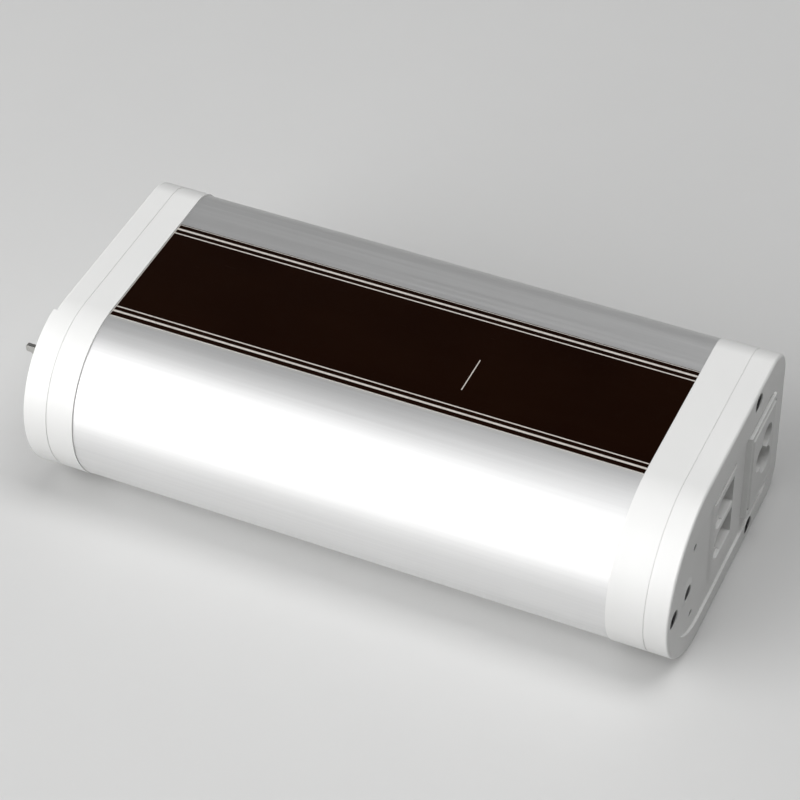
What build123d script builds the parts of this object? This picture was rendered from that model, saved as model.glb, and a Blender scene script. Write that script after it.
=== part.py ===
from build123d import *
import math
import os

# Curtain motor lying on its flat back, in millimetres.
# X runs along the drive axis (output end at -X, sockets at +X), Y across, Z up.
# The origin is the middle of the flat underside.

# Case
case_length = 200.0
case_width = 95.0
case_height = 57.0
far_top_radius = 12.0
far_bottom_radius = 9.0
cap_proud = 0.4
edge_round = 0.8
least_corner = 0.6
output_cover_length = 6.9
output_collar_length = 8.4
socket_collar_length = 11.0
socket_cover_length = 7.3
groove_width = 0.3
groove_depth = 0.15

# How far a cut runs past the face that it opens
cut_over = 1.0

# Extrusion
extrusion_wall = 2.0
port_radius = 3.0
port_hole_radius = 1.5
rail_thickness = 1.2
rail_reach = 2.2
rail_post_offset_y = 24.8
rail_post_thickness = 1.6
rail_corner = 0.2

# End caps
fit_gap = 0.15
spigot_thickness = 1.6
spigot_length = 6.0
bulkhead_thickness = 3.0
cover_face = 2.5
cover_wall = 2.6
moulded_corner = 1.0

# Long case screws
screw_edge_distance = 3.9
screw_far_distance = 25.1
screw_tip_distance = 4.6
screw_shank_radius = 1.45
screw_pass_radius = 1.7
screw_head_radius = 2.7
screw_head_thickness = 2.0
screw_seat_depth = 2.3
screw_bite = 9.0
screw_slot_width = 0.8
screw_slot_depth = 1.2
screw_slot_half_length = 2.2
head_clearance = 0.2
cover_boss_radius = 3.4
panel_boss_margin = 0.3

# Rating label
label_overhang = 1.6
label_width = 44.6
label_thickness = 0.25
label_end_gap = 0.15

# Socket panel, with heights given from the middle of the case
panel_inset = 6.5
panel_top_inset = 11.5
panel_far_margin = 8.2
panel_corner = 6.0
panel_depth = 0.8
panel_plate = 2.2
jack_frame_near_y = -13.0
jack_frame_far_y = 7.6
jack_frame_near_slope = 1.4
jack_frame_far_slope = 2.8
jack_frame_height = 1.0
jack_frame_below = 13.0
jack_frame_above = 15.4
jack_rise = 2.3
jack_pitch = 12.0
jack_mouth_width = 10.0
jack_mouth_near_y = -4.7
jack_mouth_far_y = 3.4
jack_step_width = 6.4
jack_step_depth = 2.3
jack_slot_width = 4.0
jack_slot_depth = 1.8
jack_lip = 0.2
jack_lip_bite = 0.3
jack_recess_depth = 1.2
jack_recess_reach = 3.8
jack_recess_tip = 2.8
jack_recess_tip_width = 5.0
mouth_corner = 0.25
jack_depth = 11.0
jack_wall = 1.2
jack_gap = 0.1
contact_count = 6
contact_pitch = 1.02
contact_width = 0.45
contact_thickness = 0.35
contact_rise = 1.6
contact_setback = 1.0

# Mains inlet, placed from the far side and the middle height
inlet_edge_distance = 10.0
inlet_width = 20.0
inlet_below = 14.0
inlet_above = 14.2
inlet_stand = 1.9
inlet_bevel = 0.8
inlet_depth = 15.0
inlet_cavity_depth = 13.0
inlet_frame_near_margin = 1.4
inlet_frame_near_slope = 0.5
inlet_frame_far_margin = 1.2
inlet_frame_far_slope = 1.0
inlet_frame_below = 16.0
inlet_frame_above = 15.7
inlet_frame_height = 1.6
inlet_flange = 0.9
inlet_flange_thickness = 1.8
lobe_radius = 4.2
live_lobe_distance = 7.3
earth_lobe_step = 5.0
lobe_pitch = 9.2
lobe_rise = 0.6
pin_radius = 1.2
pin_recess = 4.7
pin_tail = 4.0
pin_chamfer = 0.5

# Button and light windows, placed from the near tip and the middle height
button_tip_distance = 16.4
button_drop = 1.1
button_radius = 2.4
button_clearance = 0.1
button_sink = 0.2
button_flange_radius = 3.4
button_flange_thickness = 1.0
button_flange_gap = 0.2
button_boss_base = 4.8
button_boss_top = 3.0
button_boss_height = 0.5
button_stem_radius = 1.6
button_travel = 0.5
button_round = 0.5
stem_bite = 1.3
stem_end_gap = 0.2
light_tip_distance = 21.8
light_drop = 1.7
light_spread = 13.2
light_radius = 1.2
light_hole_radius = 1.3
light_sink = 0.3
light_flange_radius = 2.0
light_flange_thickness = 1.0

# Control board behind the sockets
board_seat_gap = 0.1
control_board_thickness = 1.6
control_board_inset = 5.2
control_board_margin = 2.8
post_radius = 2.5
post_tip_distance = 10.3
post_jack_gap = 2.6
post_spread = 15.0
board_screw_radius = 1.2
board_screw_bite = 7.0
board_screw_head_radius = 2.2
board_screw_head_thickness = 1.6
switch_size = 6.0
switch_height = 3.5
switch_bore_radius = 1.75
radio_size = (2.4, 20.0, 13.0)
radio_offset = (9.0, 11.5)

# Drive axis parts
motor_length = 58.0
motor_wall = 1.5
damper_gap = 0.1
damper_thickness = 5.8
damper_width = 8.0
damper_inset = 5.0
port_clearance = 0.3
shaft_radius = 2.5
shaft_step = 0.5
running_gap = 0.04
motor_bearing_radius = 6.5
motor_bearing_width = 5.0
magnet_thickness = 3.2
magnet_span = 140.0
magnet_overhang = 2.5
air_gap = 0.6
armature_end_gap = 2.0
armature_slots = 12
slot_width = 2.4
slot_depth = 6.0
winding_overhang = 5.0
winding_clearance = 0.08
winding_sink = 0.8
winding_bite = 0.5
winding_shaft_gap = 1.2
commutator_radius = 5.5
commutator_length = 8.0
commutator_gap = 1.0
commutator_end_gap = 1.0
segment_gap = 0.4
segment_depth = 0.6
brush_gap = 0.05
brush_size = 4.0
brush_end_gap = 2.0
brush_holder_wall = 1.2
brush_holder_gap = 2.5
end_bell_thickness = 4.0
bell_register_gap = 0.1
bell_skirt = 2.0
encoder_post_radius = 1.8
encoder_post_spread = 11.0
encoder_magnet_radius = 6.0
encoder_magnet_length = 3.0
encoder_magnet_gap = 1.0
encoder_board_radius = 13.0
encoder_stand = 9.0

# Gearbox
ring_wall = 3.45
sun_teeth = 12
planet_teeth = 21
ring_teeth = 54
planet_count = 3
pressure_angle = 25.0
addendum_share = 0.9
dedendum_share = 1.25
tooth_backlash = 0.06
adapter_thickness = 3.0
adapter_clearance = 0.4
housing_length = 26.0
gearbox_cover_thickness = 4.0
nose_radius = 10.5
nose_proud = 2.0
pilot_radius = 9.8
nose_gap = 0.2
stage_gap = 0.3
first_planet_width = 8.0
second_planet_width = 9.0
first_plate_thickness = 2.5
second_plate_thickness = 3.5
first_pin_radius = 1.5
second_pin_radius = 2.0
planet_bore_gap = 0.05
carrier_margin = 3.2
sun_bore_radius = 1.6
output_shaft_radius = 4.0
output_bearing_radius = 8.0
output_bearing_width = 4.5
shaft_clearance = 1.0
coupling_radius = 6.5
coupling_length = 7.0
coupling_stand = 1.0
coupling_grooves = 6
coupling_groove_radius = 1.4
coupling_end_wall = 1.0
coupling_chamfer = 0.5
gearbox_screw_count = 4
gearbox_screw_circle = 15.0
gearbox_screw_radius = 1.2
gearbox_screw_head_radius = 2.2
gearbox_screw_head_thickness = 1.4
gearbox_screw_bite = 3.4

# Rail lock at the output end
land_height = 1.0
land_edge_distance = 23.0
land_corner = 0.5
land_round = 0.5
land_root = 1.2
land_clearance = 3.0
lock_reach = 8.0
claw_offset_y = -12.1
claw_thickness = 1.3
claw_rise = 16.7
claw_nose = 2.3
claw_nose_run = 1.5
claw_root = 6.5
claw_round = 0.5
claw_foot_thickness = 1.2
claw_foot_width = 4.0
latch_offset_y = 12.8
latch_thickness = 1.6
latch_half_width = 6.0
latch_tab = 1.5
latch_hook = 1.2
latch_hook_length = 3.0
latch_hook_slope = 1.8
latch_travel = 3.0
latch_gap = 0.3
knob_length = 8.0
knob_end_distance = 2.0
knob_half_width = 4.0
knob_proud = 1.5
knob_ribs = 3
knob_rib_depth = 0.5
knob_rib_width = 0.8
spring_coils = 6
spring_wire = 0.5
spring_radius = 1.5
spring_run = 8.0
spring_stop_thickness = 1.6
spring_stop_edge_distance = 9.9

# Power board, where a place gives the distance from its socket end and from its middle line
power_board_z = 8.0
power_board_thickness = 1.6
power_board_length = 124.0
power_board_back = 7.7
board_side_gap = 0.25
near_row_inset = 6.5
mains_terminal_back = 5.0
mains_terminal_length = 7.0
mains_terminal_width = 18.0
mains_lead_drop = 5.3
motor_terminal_distance = 13.6
motor_terminal_size = (7.0, 8.0, 9.0)
choke_place = (19.0, 3.0)
choke_radius = 9.0
choke_bore = 4.0
choke_width = 8.0
fuse_back = 19.0
fuse_radius = 2.5
fuse_length = 20.0
fuse_cap_radius = 2.9
fuse_cap_length = 5.0
fuse_stand = 1.0
fuse_lead_width = 2.0
bulk_place = (40.0, 3.0)
bulk_radius = 9.0
bulk_height = 30.0
transformer_place = (72.0, 4.5)
transformer_length = 30.0
transformer_margin = 10.0
transformer_height = 23.0
transformer_window = 13.0
transformer_leg = 5.0
transformer_foot = 3.0
transformer_overhang = 3.0
heatsink_place = (95.0, 2.0)
heatsink_plate = 3.0
heatsink_margin = 4.5
heatsink_height = 26.0
heatsink_fins = 5
heatsink_fin = 1.6
heatsink_fin_reach = 5.0
output_can_places = [(103.0, 3.0), (116.0, 3.0)]
output_can_radius = 5.5
output_can_height = 22.0
can_round = 0.8
lead_radius = 0.9
lead_bend = 3.0
motor_lead_offset = 14.0
motor_lead_rise = 9.0
motor_lead_pitch = 3.0
mains_lead_spread = 2.0

# Planes worked out from the sizes above
x_out = -case_length / 2
x_out_seam = x_out + output_cover_length
x_ext_start = x_out_seam + output_collar_length
x_sock = case_length / 2
x_sock_seam = x_sock - socket_cover_length
x_ext_end = x_sock_seam - socket_collar_length
y_near = -case_width / 2
y_far = case_width / 2
mid_z = case_height / 2
extrusion_top = case_height - cap_proud
bore_side = cap_proud + extrusion_wall
bore_low = extrusion_wall
bore_high = extrusion_top - extrusion_wall
bore_radius = (bore_high - bore_low) / 2
axis_y = y_near + bore_side + bore_radius
axis_z = (bore_high + bore_low) / 2
x_floor = x_sock - panel_depth
x_plate_back = x_floor - panel_plate
x_board_back = x_ext_end + board_seat_gap
x_board_front = x_board_back + control_board_thickness
screw_places = [
    (y_far - screw_far_distance, case_height - screw_edge_distance),
    (y_far - screw_far_distance, screw_edge_distance),
    (y_near + screw_tip_distance, mid_z),
]
rail_post_y = axis_y + rail_post_offset_y
label_near_y = axis_y - label_overhang
jack_frame_low_z = mid_z - jack_frame_below
jack_frame_high_z = mid_z + jack_frame_above
inlet_far_y = y_far - inlet_edge_distance
inlet_near_y = inlet_far_y - inlet_width
inlet_low_z = mid_z - inlet_below
inlet_high_z = mid_z + inlet_above
live_lobe_y = inlet_far_y - live_lobe_distance
earth_lobe_y = live_lobe_y - earth_lobe_step
lobe_centre_z = mid_z + lobe_rise
button_y = y_near + button_tip_distance
button_z = mid_z - button_drop
light_y = y_near + light_tip_distance
post_y = jack_frame_far_y + post_jack_gap
post_places = [(y_near + post_tip_distance, mid_z)]
post_places += [(post_y, mid_z + side * post_spread) for side in (-1, 1)]
motor_radius = bore_radius - damper_gap - damper_thickness
gear_module = 2 * (motor_radius - ring_wall) / (ring_teeth + 2 * dedendum_share)
x_gear_front = x_out_seam + bulkhead_thickness
x_housing_start = x_gear_front + gearbox_cover_thickness
x_housing_end = x_housing_start + housing_length
x_motor_start = x_housing_end + adapter_thickness
x_motor_end = x_motor_start + motor_length
x_bell_end = x_motor_end + end_bell_thickness
x_second_plate = x_housing_start + stage_gap
x_second_planets = x_second_plate + second_plate_thickness + stage_gap
x_first_plate = x_second_planets + second_planet_width + stage_gap
x_first_planets = x_first_plate + first_plate_thickness + stage_gap
x_first_planets_end = x_first_planets + first_planet_width
x_nose = x_out - nose_proud
x_coupling = x_nose - coupling_stand
x_coupling_end = x_coupling - coupling_length
board_top = power_board_z + power_board_thickness
board_y_start = rail_post_y + rail_post_thickness + board_side_gap
board_y_end = y_far - bore_side - board_side_gap
board_width = board_y_end - board_y_start
board_middle_y = (board_y_start + board_y_end) / 2
power_board_end = x_ext_end - power_board_back
near_row = near_row_inset - board_width / 2
motor_terminal_place = (power_board_end - x_bell_end - motor_terminal_distance, near_row)
fuse_place = (fuse_back, near_row)
mains_terminal_place = (mains_terminal_back, (inlet_near_y + inlet_far_y) / 2 - board_middle_y)
mains_terminal_height = lobe_centre_z - lobe_pitch / 2 - mains_lead_drop - board_top
mains_terminal_size = (mains_terminal_length, mains_terminal_width, mains_terminal_height)
transformer_size = (transformer_length, board_width - 2 * transformer_margin, transformer_height)
heatsink_size = (heatsink_plate, board_width - 2 * heatsink_margin, heatsink_height)
x_armature_start = x_motor_start + motor_bearing_width + winding_overhang + armature_end_gap
x_commutator = x_bell_end - motor_bearing_width - commutator_end_gap - commutator_length
x_armature_end = x_commutator - commutator_gap - winding_overhang
x_brushes = x_commutator + (commutator_length - brush_size) / 2
x_magnet_end = x_bell_end + encoder_magnet_gap + encoder_magnet_length
x_encoder_board = x_bell_end + encoder_stand
x_latch_plate = x_out_seam - latch_gap - latch_thickness
x_spring = x_out_seam - latch_gap - spring_radius - spring_wire / 2
spring_stop_y = y_far - spring_stop_edge_distance - spring_stop_thickness
latch_start_y = axis_y + latch_offset_y
latch_end_y = spring_stop_y - spring_run
knob_y = latch_end_y - knob_end_distance - knob_length
claw_y = axis_y + claw_offset_y


def d_profile(side_inset, z_low, z_high):
    """Section of the case: a true half round on the near side, rounded far corners."""
    radius = (z_high - z_low) / 2
    y_round = y_near + side_inset + radius
    y_end = y_far - side_inset
    z_mid = (z_high + z_low) / 2
    r_top = max(far_top_radius - side_inset, least_corner)
    r_low = max(far_bottom_radius - side_inset, least_corner)
    return make_face([
        Line((y_round, z_high), (y_end - r_top, z_high)),
        CenterArc((y_end - r_top, z_high - r_top), r_top, 0, 90),
        Line((y_end, z_high - r_top), (y_end, z_low + r_low)),
        CenterArc((y_end - r_low, z_low + r_low), r_low, 270, 90),
        Line((y_end - r_low, z_low), (y_round, z_low)),
        CenterArc((y_round, z_mid), radius, 90, 180),
    ])


def cap_profile(inset):
    """Case section of the caps, drawn in by the same inset all round."""
    return d_profile(inset, inset, case_height - inset)


def spigot_profile(inset):
    """Section that follows the extrusion's bore, drawn in by an inset."""
    return d_profile(bore_side + inset, bore_low + inset, bore_high - inset)


def prism(sketch, x_start, x_end):
    """Extrude a Y-Z sketch along X."""
    plane = Plane(origin=(x_start, 0, 0), x_dir=(0, 1, 0), z_dir=(1, 0, 0))
    return extrude(plane * sketch, amount=x_end - x_start)


def rod(y, z, radius, x_start, x_end):
    return prism(Pos(y, z) * Circle(radius), x_start, x_end)


def tube(y, z, outer, inner, x_start, x_end):
    return rod(y, z, outer, x_start, x_end) - rod(y, z, inner, x_start, x_end)


def axis_rod(radius, x_start, x_end):
    """Rod on the drive axis."""
    return rod(axis_y, axis_z, radius, x_start, x_end)


def axis_tube(outer, inner, x_start, x_end):
    """Tube on the drive axis."""
    return tube(axis_y, axis_z, outer, inner, x_start, x_end)


def block(x_range, y_range, z_range):
    corner = Vector(x_range[0], y_range[0], z_range[0])
    size = Vector(x_range[1], y_range[1], z_range[1]) - corner
    centre = corner + size * 0.5
    return Pos(centre.X, centre.Y, centre.Z) * Box(size.X, size.Y, size.Z)


def window(y_low, y_high, z_low, z_high, corner):
    """Rounded rectangle in the Y-Z plane."""
    centre = Pos((y_low + y_high) / 2, (z_low + z_high) / 2)
    return centre * RectangleRounded(y_high - y_low, z_high - z_low, corner)


def side_prism(points, y_start, y_end):
    """Extrude an X-Z outline along Y."""
    plane = Plane(origin=(0, y_start, 0), x_dir=(1, 0, 0), z_dir=(0, -1, 0))
    face = plane * make_face(Polyline(*points, close=True))
    return extrude(face, amount=y_start - y_end)


def top_prism(points, z_start, z_end):
    """Extrude an X-Y outline along Z."""
    face = Plane.XY.offset(z_start) * make_face(Polyline(*points, close=True))
    return extrude(face, amount=z_end - z_start)


def end_edges(part, x):
    """Edges that lie in the plane at x."""
    flat = [e for e in part.edges() if abs(e.bounding_box().min.X - x) < 1e-4
            and abs(e.bounding_box().max.X - x) < 1e-4]
    return flat


def wire_along(points, radius, bend):
    """Round wire along straight runs joined by tangent arcs."""
    path = FilletPolyline(*points, radius=bend)
    start = Plane(origin=path @ 0, z_dir=path % 0)
    return sweep(start * Circle(radius), path=path)


def group(solids):
    return Compound(children=list(solids))


# Gears

def gear_outline(teeth, tip_radius, root_radius, thickness_change, phase):
    """Closed outline of a spur gear with involute flanks, one tooth centred on phase."""
    pitch_radius = gear_module * teeth / 2
    alpha = math.radians(pressure_angle)
    base_radius = pitch_radius * math.cos(alpha)
    half_pitch_tooth = math.pi / (2 * teeth) + thickness_change / (2 * pitch_radius)
    involute = math.tan(alpha) - alpha
    flank_start = max(base_radius, root_radius)

    def half_angle(radius):
        if radius <= base_radius:
            return half_pitch_tooth + involute
        angle = math.acos(base_radius / radius)
        return half_pitch_tooth + involute - (math.tan(angle) - angle)

    flank_steps = 3
    radii = [flank_start + (tip_radius - flank_start) * i / flank_steps for i in range(flank_steps + 1)]
    if root_radius < flank_start:
        radii = [root_radius] + radii
    points = []
    for tooth in range(teeth):
        centre = phase + tooth * 2 * math.pi / teeth
        rising = [(r, centre - half_angle(r)) for r in radii]
        falling = [(r, centre + half_angle(r)) for r in reversed(radii)]
        points += [(r * math.cos(a), r * math.sin(a)) for r, a in rising + falling]
    return make_face(Polyline(*points, close=True))


addendum = addendum_share * gear_module
dedendum = dedendum_share * gear_module
sun_pitch_radius = gear_module * sun_teeth / 2
planet_pitch_radius = gear_module * planet_teeth / 2
ring_pitch_radius = gear_module * ring_teeth / 2
orbit_radius = sun_pitch_radius + planet_pitch_radius
planet_angles = [2 * math.pi * i / planet_count for i in range(planet_count)]
ring_phase = 2 * math.pi / ring_teeth * ((planet_teeth / 2) % 1)


def planet_phase(angle):
    """Turn of a planet that puts its teeth in mesh with a sun whose tooth points along +Y."""
    return angle + math.pi - math.pi / planet_teeth + angle * sun_teeth / planet_teeth


def planet_centre(angle):
    return axis_y + orbit_radius * math.cos(angle), axis_z + orbit_radius * math.sin(angle)


def external_gear(teeth, phase, y, z, x_start, x_end):
    pitch_radius = gear_module * teeth / 2
    outline = gear_outline(teeth, pitch_radius + addendum, pitch_radius - dedendum, -tooth_backlash, phase)
    return prism(Pos(y, z) * outline, x_start, x_end)


def planet_gear(angle, x_start, x_end, pin_hole):
    y, z = planet_centre(angle)
    gear = external_gear(planet_teeth, planet_phase(angle), y, z, x_start, x_end)
    return gear - rod(y, z, pin_hole, x_start, x_end)


def planet_pins(radius, x_start, x_end):
    return [rod(*planet_centre(a), radius, x_start, x_end) for a in planet_angles]


# Case

def body_extrusion():
    outer = d_profile(cap_proud, 0, extrusion_top)
    section = outer - d_profile(bore_side, bore_low, bore_high)
    for place in screw_places:
        section += (Pos(*place) * Circle(port_radius)) & outer
    y_wall = y_far - bore_side
    ledge_top = power_board_z - board_side_gap / 2
    ledge_roof = board_top + board_side_gap / 2
    y_shelf = rail_post_y + rail_post_thickness + rail_reach
    for z in (ledge_top - rail_thickness, ledge_roof):
        ledge = window(y_wall - rail_reach, y_wall + extrusion_wall / 2, z, z + rail_thickness, rail_corner)
        section += ledge & outer
        section += window(rail_post_y, y_shelf, z, z + rail_thickness, rail_corner)
    post_top = ledge_roof + rail_thickness
    section += window(rail_post_y, rail_post_y + rail_post_thickness, extrusion_wall / 2, post_top,
                      rail_corner)
    for place in screw_places:
        section -= Pos(*place) * Circle(port_hole_radius)
    return prism(section, x_ext_start, x_ext_end)


def rating_label():
    return block((x_ext_start + label_end_gap, x_ext_end - label_end_gap),
                 (label_near_y, label_near_y + label_width),
                 (extrusion_top, extrusion_top + label_thickness))


def case_collar(x_face, x_joint, x_spigot):
    """Collar between cover and extrusion: ring, spigot and screw bosses, without its bulkhead."""
    inner = spigot_profile(fit_gap + spigot_thickness)
    collar = prism(cap_profile(0), x_face, x_joint) - prism(inner, x_face, x_joint)
    spigot = prism(spigot_profile(fit_gap), x_joint, x_spigot) - prism(inner, x_joint, x_spigot)
    for y, z in screw_places:
        spigot -= rod(y, z, port_radius + port_clearance, x_joint, x_spigot)
        collar += rod(y, z, port_radius, x_face, x_joint)
    rails_clear = window(rail_post_y - fit_gap, rail_post_y + rail_post_thickness + rail_reach + fit_gap,
                         0, board_top + rail_thickness + 2 * fit_gap, rail_corner)
    far_clear = window(y_far - bore_side - rail_reach - fit_gap, y_far,
                       power_board_z - 2 * rail_thickness, board_top + 2 * rail_thickness, rail_corner)
    spigot -= prism(rails_clear, x_joint, x_spigot) + prism(far_clear, x_joint, x_spigot)
    return collar + spigot


def drill_screws(part, x_start, x_end):
    for y, z in screw_places:
        part -= rod(y, z, screw_pass_radius, x_start, x_end)
    return part


def bulkhead(x_start, x_end):
    return prism(spigot_profile(fit_gap), x_start, x_end)


def gearbox_screw_places():
    for i in range(gearbox_screw_count):
        angle = 2 * math.pi * (i + 0.5) / gearbox_screw_count
        y = axis_y + gearbox_screw_circle * math.cos(angle)
        yield y, axis_z + gearbox_screw_circle * math.sin(angle)


def output_collar():
    collar = case_collar(x_out_seam, x_ext_start, x_ext_start + spigot_length)
    collar += bulkhead(x_out_seam, x_gear_front)
    collar = drill_screws(collar, x_out_seam, x_ext_start)
    collar -= axis_rod(nose_radius + nose_gap, x_out_seam, x_gear_front)
    for y, z in gearbox_screw_places():
        collar -= rod(y, z, gearbox_screw_radius + fit_gap, x_out_seam, x_gear_front)
        collar -= rod(y, z, gearbox_screw_head_radius + head_clearance, x_out_seam,
                      x_out_seam + gearbox_screw_head_thickness)
    return collar + block((x_out + cover_face + latch_gap, x_out_seam),
                          (spring_stop_y, spring_stop_y + spring_stop_thickness),
                          (axis_z - latch_half_width, axis_z + latch_half_width))


def socket_collar():
    collar = case_collar(x_sock_seam, x_ext_end, x_ext_end - spigot_length)
    return drill_screws(collar, x_ext_end, x_sock_seam)


def cap_block(x_face, x_seam):
    """Solid outer shape of a cover with a rounded rim and a groove at its seam."""
    inward = 1 if x_seam > x_face else -1
    solid = prism(cap_profile(0), x_face, x_seam - inward * groove_width)
    solid = fillet(end_edges(solid, x_face), edge_round)
    return solid + prism(cap_profile(groove_depth), x_seam - inward * groove_width, x_seam)


def cover_shell(x_face, x_seam, face_thickness):
    """Cover hollowed from its seam, with a boss and a counterbore for each long screw."""
    inward = 1 if x_seam > x_face else -1
    shell = cap_block(x_face, x_seam)
    shell -= prism(cap_profile(cover_wall), x_face + inward * face_thickness, x_seam)
    for y, z in screw_places:
        boss = Pos(y, z) * Circle(cover_boss_radius)
        shell += prism(boss & cap_profile(edge_round), x_face + inward * edge_round, x_seam)
        shell -= rod(y, z, screw_pass_radius, x_face, x_seam)
        shell -= rod(y, z, screw_head_radius + head_clearance, x_face, x_face + inward * screw_seat_depth)
    return shell


def output_land():
    """Raised land that follows the near round and stops clear of the drive axis."""
    region = cap_profile(0) & window(y_near - cut_over, y_near + land_edge_distance, -cut_over,
                                     case_height + cut_over, land_corner)
    land = prism(region, x_out - land_height, x_out + land_root)
    land = fillet(end_edges(land, x_out - land_height), land_round)
    return land - axis_rod(nose_radius + land_clearance, x_out - land_height, x_out + cover_face)


def claw_z_ranges():
    """Height of the two claw roots: the upper one and its mirror below the drive axis."""
    upper = (axis_z + claw_rise - claw_root, axis_z + claw_rise)
    return [upper, (2 * axis_z - upper[1], 2 * axis_z - upper[0])]


def output_cover():
    cover = cover_shell(x_out, x_out_seam, cover_face) + output_land()
    x_past = x_out - land_height
    y, z = screw_places[2]
    cover -= rod(y, z, screw_head_radius + head_clearance, x_past, x_out + screw_seat_depth)
    x_inner = x_out + cover_face
    cover -= axis_rod(nose_radius + nose_gap, x_past, x_inner)
    for z_low, z_high in claw_z_ranges():
        cover -= block((x_past, x_inner), (claw_y - fit_gap, claw_y + claw_thickness + fit_gap),
                       (z_low - fit_gap, z_high + fit_gap))
    slot_y = (latch_start_y - latch_gap, latch_start_y + latch_tab + latch_travel + latch_gap)
    slot_z = (axis_z - latch_half_width - latch_gap, axis_z + latch_half_width + latch_gap)
    cover -= block((x_past, x_inner), slot_y, slot_z)
    slot_y = (knob_y - latch_gap, knob_y + knob_length + latch_travel + latch_gap)
    slot_z = (axis_z - knob_half_width - latch_gap, axis_z + knob_half_width + latch_gap)
    return cover - block((x_past, x_inner), slot_y, slot_z)


def jack_mouth(centre_z):
    """Mouth of a modular socket: plug window, latch step and latch slot."""
    def bar(width, y_low, y_high):
        return window(y_low, y_high, centre_z - width / 2, centre_z + width / 2, mouth_corner)
    step_y = jack_mouth_near_y - jack_step_depth
    mouth = bar(jack_mouth_width, jack_mouth_near_y, jack_mouth_far_y)
    mouth += bar(jack_step_width, step_y, jack_mouth_near_y + cut_over)
    return mouth + bar(jack_slot_width, step_y - jack_slot_depth, step_y + cut_over)


def jack_recess(centre_z):
    """Shallow sinking beside the plug window, drawn in towards the latch end."""
    half = jack_mouth_width / 2
    half_tip = jack_recess_tip_width / 2
    y_shoulder = jack_mouth_near_y - jack_recess_reach
    y_tip = y_shoulder - jack_recess_tip
    return make_face(Polyline((jack_mouth_near_y, centre_z - half), (jack_mouth_near_y, centre_z + half),
                              (y_shoulder, centre_z + half), (y_tip, centre_z + half_tip),
                              (y_tip, centre_z - half_tip), (y_shoulder, centre_z - half), close=True))


def jack_centres():
    return [mid_z + jack_rise + jack_pitch / 2, mid_z + jack_rise - jack_pitch / 2]


def inlet_mouth():
    """Three-lobe opening: two line lobes and an earth lobe towards the near side."""
    mouth = make_face(Polyline(*inlet_places(), close=True))
    for y, z in inlet_places():
        mouth += Pos(y, z) * Circle(lobe_radius)
    return mouth


def inlet_places():
    z_high = lobe_centre_z + lobe_pitch / 2
    z_low = lobe_centre_z - lobe_pitch / 2
    return [(live_lobe_y, z_high), (live_lobe_y, z_low), (earth_lobe_y, lobe_centre_z)]


def light_places():
    return [(light_y, mid_z - light_drop + side * light_spread) for side in (1, -1)]


def raised_frame(y_span, slopes, height, z_span):
    """Raised frame on the panel floor whose near and far sides lean in by the slopes."""
    (y_low, y_high), (near_slope, far_slope) = y_span, slopes
    outline = [(x_floor, y_low), (x_floor + height, y_low + near_slope),
               (x_floor + height, y_high - far_slope), (x_floor, y_high)]
    return top_prism(outline, *z_span)


def socket_cover():
    cover = cover_shell(x_sock, x_sock_seam, panel_depth + panel_plate)
    panel = cap_profile(panel_inset) & window(y_near, y_far - panel_far_margin, panel_inset,
                                              case_height - panel_top_inset, panel_corner)
    for place in screw_places:
        panel -= Pos(*place) * Circle(screw_head_radius + head_clearance + panel_boss_margin)
    cover -= prism(panel, x_floor, x_sock)
    x_jack_front = x_floor + jack_frame_height
    cover += raised_frame((jack_frame_near_y, jack_frame_far_y),
                          (jack_frame_near_slope, jack_frame_far_slope), jack_frame_height,
                          (jack_frame_low_z, jack_frame_high_z))
    for z in jack_centres():
        cover -= prism(jack_mouth(z), x_plate_back, x_jack_front)
        cover -= prism(jack_recess(z), x_jack_front - jack_recess_depth, x_jack_front)
        z_low = z - jack_mouth_width / 2
        lip = [(x_jack_front, z_low - jack_lip), (x_jack_front, z_low + jack_lip_bite),
               (x_jack_front - jack_lip, z_low + jack_lip_bite), (x_jack_front - jack_lip, z_low)]
        cover -= side_prism(lip, jack_mouth_near_y - jack_recess_reach, jack_mouth_far_y)
    x_inlet_frame = x_floor + inlet_frame_height
    cover += raised_frame((inlet_near_y - inlet_frame_near_margin, inlet_far_y + inlet_frame_far_margin),
                          (inlet_frame_near_slope, inlet_frame_far_slope), inlet_frame_height,
                          (mid_z - inlet_frame_below, mid_z + inlet_frame_above))
    cover -= prism(window(inlet_near_y - jack_gap, inlet_far_y + jack_gap, inlet_low_z - jack_gap,
                          inlet_high_z + jack_gap, moulded_corner), x_plate_back, x_inlet_frame)
    x_boss = x_floor + button_boss_height
    boss = Cone(button_boss_base, button_boss_top, button_boss_height)
    cover += Pos(x_floor + button_boss_height / 2, button_y, button_z) * Rot(0, 90, 0) * boss
    cover -= rod(button_y, button_z, button_radius + button_clearance, x_plate_back, x_boss)
    for y, z in light_places():
        cover -= rod(y, z, light_hole_radius, x_plate_back, x_floor)
    for y, z in post_places:
        cover += rod(y, z, post_radius, x_board_front, x_plate_back)
        cover -= rod(y, z, board_screw_radius, x_board_front, x_board_front + board_screw_bite)
    return cover


def case_screws(x_face, outward):
    """Long screws from a cover into the extrusion's ports, heads sunk below the rim."""
    x_seat = x_face - outward * screw_seat_depth
    x_top = x_seat + outward * screw_head_thickness
    x_port = x_ext_end if outward > 0 else x_ext_start
    x_tip = x_port - outward * screw_bite
    screws = []
    for y, z in screw_places:
        head = rod(y, z, screw_head_radius, x_seat, x_top)
        x_slot = x_top - outward * screw_slot_depth
        for turn in (0, 90):
            slot = Rot(0, 0, turn) * Rectangle(2 * screw_slot_half_length, screw_slot_width)
            head -= prism(Pos(y, z) * slot, x_slot, x_top)
        screws.append(head + rod(y, z, screw_shank_radius, x_tip, x_seat))
    return group(screws)


# Sockets

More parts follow.
